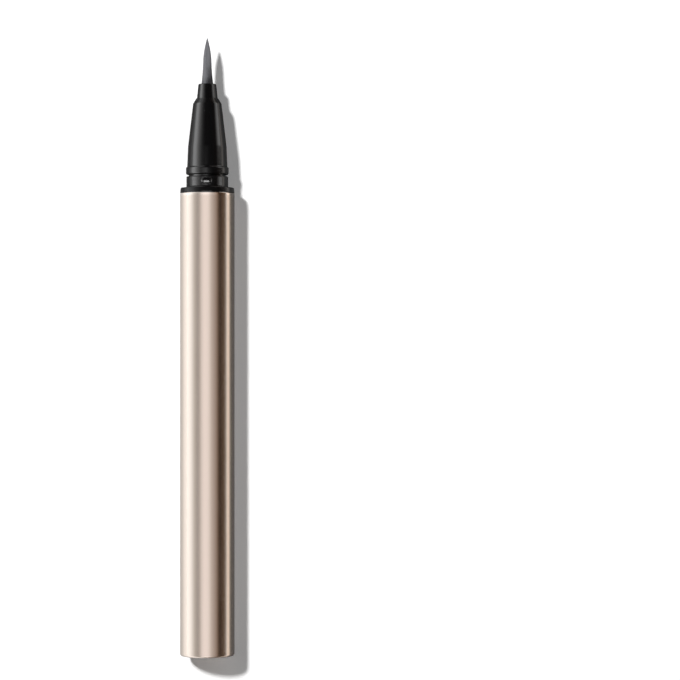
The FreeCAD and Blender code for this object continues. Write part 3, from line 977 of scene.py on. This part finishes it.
def studio_light(settings):
    """White all round for the camera, soft fill from the right, and what the gloss of all pieces shows."""
    world = bpy.data.worlds.new("studio")
    bpy.context.scene.world = world
    world.use_nodes = True
    tree = world.node_tree
    tree.nodes.clear()
    way = Shade(tree).node("ShaderNodeTexCoord", output="Generated")
    across, along, up = split(way)
    turn = across.maths("ARCTAN2", across, up) / (2 * math.pi) + 0.5
    # Colours by degrees from straight up towards the right: dark over the pen, bright in a window behind it.
    left = [
        (-180, 0.5, 0.5, 0.5), (-95, 1.4, 1.43, 1.45), (-86, 1.38, 1.41, 1.43), (-72, 1.2, 1.22, 1.24),
        (-60, 0.82, 0.81, 0.81),
    ]
    right = [
        (44, 0.03, 0.018, 0.01), (54, 0.015, 0.007, 0.002), (60, 0.02, 0.009, 0.004),
        (68, 0.08, 0.048, 0.027), (80, 0.1, 0.068, 0.046), (86, 0.18, 0.146, 0.12),
        (92, 0.44, 0.4, 0.365), (180, 0.5, 0.5, 0.5),
    ]
    dark = [
        (-54, 0.52, 0.51, 0.5), (-48, 0.46, 0.45, 0.44), (-38, 0.25, 0.25, 0.25), (-24, 0.08, 0.08, 0.08),
        (-10, 0.01, 0.01, 0.01), (36, 0.01, 0.01, 0.01),
    ]
    bright = [
        (-42, 0.4, 0.39, 0.38), (-30, 0.62, 0.61, 0.6), (-22, 0.97, 0.97, 0.97), (7, 0.97, 0.97, 0.97),
        (22, 0.58, 0.56, 0.54),
    ]
    above, top = by_angle(left + dark + right)
    behind, _ = by_angle(left + bright + right)
    rearward = -1 * along
    window = rearward.ramp(0.6, 0.75) - rearward.ramp(0.82, 0.9)
    gloss = window.mixed(turn.graded(above), turn.graded(behind))
    camera_ray = way.node("ShaderNodeLightPath", output="Is Camera Ray")
    glossy = camera_ray.out("Is Glossy Ray")
    seen = (camera_ray + camera_ray.out("Is Transmission Ray")).limited()
    hue = glossy.mixed((1, 1, 1), gloss)
    fill = across.ramp(-0.2, 0.3) * (0.5 + along.ramp(-0.35, 0.35)) * settings.fill_strength
    strength = seen + (1.0 - seen) * (glossy * top + (1.0 - glossy) * fill)
    background = way.node("ShaderNodeBackground", None, {"Color": hue, "Strength": strength})
    way.node("ShaderNodeOutputWorld", None, {"Surface": background})


def panel(name, place, tilt, turn, away, size, rows, pieces):
    """A soft panel that only the gloss of these pieces shows, graded across it by (share, colour) rows."""
    lamp = bpy.data.lights.new(name, "AREA")
    lamp.shape = "RECTANGLE"
    lamp.size = size[0]
    lamp.size_y = size[1]
    lamp.energy = math.pi * size[0] * size[1]
    lamp.use_nodes = True
    lamp.node_tree.nodes.clear()
    across = split(Shade(lamp.node_tree).node("ShaderNodeNewGeometry", output="Parametric"))[0]
    stops, top = scaled(rows)
    light = across.node("ShaderNodeEmission", None, {"Color": across.graded(stops), "Strength": top})
    across.node("ShaderNodeOutputLight", None, {"Surface": light})
    made = added(name, lamp)
    made.rotation_euler = (math.radians(-tilt), math.radians(turn), 0)
    made.location = Vector(place) + made.rotation_euler.to_matrix() @ Vector((0, 0, away))
    made.visible_camera = False
    made.visible_diffuse = False
    made.visible_transmission = False
    lit = bpy.data.collections.new(name + " pieces")
    for item in pieces:
        lit.objects.link(bpy.data.objects[item])
    made.light_linking.receiver_collection = lit


def facing_panel(name, along, turn, half, away, reach, rows, pieces):
    """A panel that faces the pen and fills an angle either way, with rows by angle."""
    spread = math.tan(math.radians(half))
    graded = []
    for angle, *tint in rows:
        graded.append((0.5 + math.tan(math.radians(angle - turn)) / spread / 2, *tint))
    panel(name, (0, along, 0), 0, turn, away, (2 * away * spread, reach), graded, pieces)


def add_panels(neck):
    """The panels over the metal and the nose, and the strips beside the nose and the neck."""
    metal = [
        (-58, 0.0, 0.0, 0.0), (-54, 0.1, 0.09, 0.08), (-48, 0.04, 0.03, 0.02), (-42, 0.08, 0.066, 0.055),
        (-35, 0.17, 0.154, 0.143), (-30, 0.34, 0.31, 0.297), (-22, 0.8, 0.755, 0.75),
        (-12, 1.04, 0.985, 0.983), (5, 1.02, 0.968, 0.965), (12, 0.88, 0.82, 0.806),
        (19, 0.59, 0.54, 0.518), (27, 0.49, 0.438, 0.408), (34, 0.41, 0.345, 0.312),
        (42, 0.31, 0.242, 0.208), (47, 0.12, 0.068, 0.036), (52, 0.01, 0.003, 0.0), (58, 0.0, 0.0, 0.0),
    ]
    black = [(-30, 0.0), (-24, 1.0), (-14, 1.1), (-6, 1.6), (1, 1.2), (8, 0.3), (30, 0.0)]
    left = [
        (-105, 1.5), (-88, 2.5), (-80, 3.6), (-73, 3.9), (-66, 3.4), (-59, 2.4), (-52, 1.6), (-45.6, 1.0),
        (-39, 0.7), (-33, 0.36), (-27, 0.15), (-20, 0.05), (-15, 0.0),
    ]
    right = [(58, 0.1), (64, 0.6), (71, 1.8), (78, 2.8), (86, 2.8), (94, 1.6), (102, 1.0)]
    shells = ["barrel_shell", "cap_shell"]
    cone = ["nose_body", "holder_body"]
    ring = ["collar_body", "liner_body"]
    middle = (cad_low.y + cad_high.y) / 2
    # Name, place along the pen, turn about it, angle either way, distance, length, rows and pieces.
    layout = [
        ("ceiling", middle, 0, 58, 1.0, 3.7, metal, shells),
        ("short ceiling", neck - 0.195, 0, 30, 1.0, 0.6, black, ["nose_body", "collar_body"]),
        ("left strip for the nose", neck, -60, 45, 0.6, 1.2, left, cone),
        ("right strip for the nose", neck + 0.36, 80, 22, 0.6, 0.52, right, cone),
        ("left strip for the neck", neck - 0.26, -60, 45, 0.6, 0.69, left, ring),
        ("right strip for the neck", neck - 0.26, 80, 22, 0.6, 0.69, right, ring),
    ]
    for row in layout:
        facing_panel(*row)


def add_small_panels(neck):
    """The lamp for the glint on the bump, and the card on the table beside the black pieces."""
    glint = [(0, 11.0), (1, 11.0)]
    card = [(0, 0.6), (1, 0.6)]
    card_at = (0.034, neck + 0.014, cad_low.z + 0.0007)
    black = ["collar_body", "nose_body", "holder_body", "liner_body"]
    panel("rear lamp", (0, neck, 0), -28, 0, 0.6, (0.44, 0.48), glint, ["collar_body"])
    panel("low card", card_at, 0, 180, 0.0005, (0.052, 0.034), card, black)


def table_finish(settings):
    """White paper that holds the shadow, with painted shade and a painted warm reflection in what the pen's
    gloss shows of it beside it.
    """
    material, place = new_finish("white table")
    across = split(place)[0]
    camera_ray = place.node("ShaderNodeLightPath", output="Is Camera Ray")
    glossy = camera_ray.out("Is Glossy Ray")
    paper = place.noise((900, 900, 900), 2.0)
    far = place.node("ShaderNodeVectorMath", {"operation": "LENGTH"}, {0: place}, "Value").ramp(0.14, 0.4)
    glow = far.mixed((0.085, 0.085, 0.085), (1, 1, 1))
    lift = (camera_ray + glossy + camera_ray.out("Is Transmission Ray")).limited()
    painted_reflection_warmth = (1.0, 0.88, 0.77)
    band = 0.4
    # Painted shade and painted reflection: the brightness that the gloss shows of the table, by millimetres
    # to the right of the pen, darker near the pen and far to the right, and warm from 21 to 100 millimetres.
    beside = [
        (-36, 1.0), (-24, 0.88), (-18, 0.69), (-14, 0.55), (-8, 0.47), (8, 0.03), (20, 0.03), (25, 0.16),
        (32, 0.7), (42, 1.0), (75, 1.0), (130, 0.5), (199, 0.35),
    ]
    stops = []
    for millimetres, grey in beside:
        tint = painted_reflection_warmth if 21 <= millimetres <= 100 else (1.0, 1.0, 1.0)
        stops.append((0.5 + millimetres / 1000 / band, darker(tint, grey)))
    # Painted shade for glossy rays only: the camera still sees the plain white table.
    gloss_painted_shade = (across / band + 0.5).graded(stops)
    finish_with(
        place,
        Base_Color=glossy.mixed(camera_ray.mixed(settings.table_white, (1, 1, 1)), gloss_painted_shade),
        Roughness=0.9 + (paper - 0.5) * 0.1,
        Specular_IOR_Level=0.0,
        Emission_Color=lift.mixed((0, 0, 0), glow),
        Emission_Strength=1.0,
    )
    return material


def make_table(settings):
    """The flat table under the pen."""
    half = settings.table_size / 2
    mesh = bmesh.new()
    corners = [(-half, -half), (half, -half), (half, half), (-half, half)]
    mesh.faces.new([mesh.verts.new((x, y, cad_low.z)) for x, y in corners])
    data = bpy.data.meshes.new("table")
    mesh.to_mesh(data)
    mesh.free()
    data.materials.append(table_finish(settings))
    table = added("table", data)


def key_light(settings):
    """The lamp high at the left that casts the shadow."""
    lamp = bpy.data.lights.new("key light", "AREA")
    lamp.shape = "DISK"
    lamp.size = 0.17
    lamp.energy = settings.key_strength
    key = added("key light", lamp)
    key.location = (-0.52, 0.62, 1.3)
    aim = Vector((0, 0.07, 0))
    key.rotation_euler = (aim - key.location).to_track_quat("-Z", "Y").to_euler()
    key.visible_glossy = False


def set_camera(settings):
    """The camera, looking straight down."""
    half_sensor = 18
    lens = bpy.data.cameras.new("camera")
    lens.sensor_width = 2 * half_sensor
    lens.lens = half_sensor * settings.camera_place[2] / settings.half_view
    lens.clip_start = 0.01
    lens.clip_end = 20
    camera = added("camera", lens)
    camera.location = settings.camera_place
    bpy.context.scene.camera = camera


class SetTable(bpy.types.Operator):
    """Set the white table, the studio light and the camera"""

    bl_idname = "eyeliner.set_table"
    bl_label = "Table, Light and Camera"

    def execute(self, context):
        settings = context.scene.table_settings
        neck = context.scene.barrel_sizes.mouth
        make_table(settings)
        key_light(settings)
        studio_light(settings)
        add_panels(neck)
        add_small_panels(neck)
        set_camera(settings)
        context.scene.view_settings.view_transform = "Standard"
        return {"FINISHED"}


class EyelinerPanel(bpy.types.Panel):
    """Lists the makers of the pen's pieces with their sizes and colours"""

    bl_idname = "VIEW3D_PT_eyeliner_pen"
    bl_label = "Eyeliner Pen"
    bl_space_type = "VIEW_3D"
    bl_region_type = "UI"
    bl_category = "Eyeliner Pen"

    def draw(self, context):
        for maker in MAKERS:
            self.layout.operator(maker.bl_idname)
        for name in GROUPS:
            box = self.layout.box()
            group = getattr(context.scene, name)
            for setting in group.bl_rna.properties.keys():
                if setting not in ("rna_type", "name"):
                    box.prop(group, setting)


GROUPS = {
    "barrel_sizes": BarrelSizes,
    "collar_sizes": CollarSizes,
    "nose_sizes": NoseSizes,
    "holder_sizes": HolderSizes,
    "brush_sizes": BrushSizes,
    "cap_sizes": CapSizes,
    "spring_sizes": SpringSizes,
    "finish_colours": FinishColours,
    "table_settings": TableSettings,
}

MAKERS = [
    MakeBarrel,
    MakeNeckCollar,
    MakeNose,
    MakeBrushHolder,
    MakeBrush,
    MakeCapShell,
    MakeCapLiner,
    MakeInnerCap,
    MakeSpring,
    FinishInnerPieces,
    SetTable,
]

CLASSES = [*GROUPS.values(), *MAKERS, EyelinerPanel]


def register():
    """Registers the classes and gives each scene the settings."""
    for kind in CLASSES:
        bpy.utils.register_class(kind)
    for name, kind in GROUPS.items():
        setattr(bpy.types.Scene, name, PointerProperty(type=kind))


def unregister():
    """Takes the settings and classes away again."""
    for name in GROUPS:
        delattr(bpy.types.Scene, name)
    for kind in reversed(CLASSES):
        bpy.utils.unregister_class(kind)


def main():
    """Makes every piece and the table."""
    register()
    makers = bpy.ops.eyeliner
    makers.make_barrel()
    makers.make_neck_collar()
    makers.make_nose()
    makers.make_brush_holder()
    makers.make_brush()
    makers.make_cap_shell()
    makers.make_cap_liner()
    makers.make_inner_cap()
    makers.make_spring()
    makers.finish_inner_pieces()
    makers.set_table()


if __name__ == "__main__":
    main()
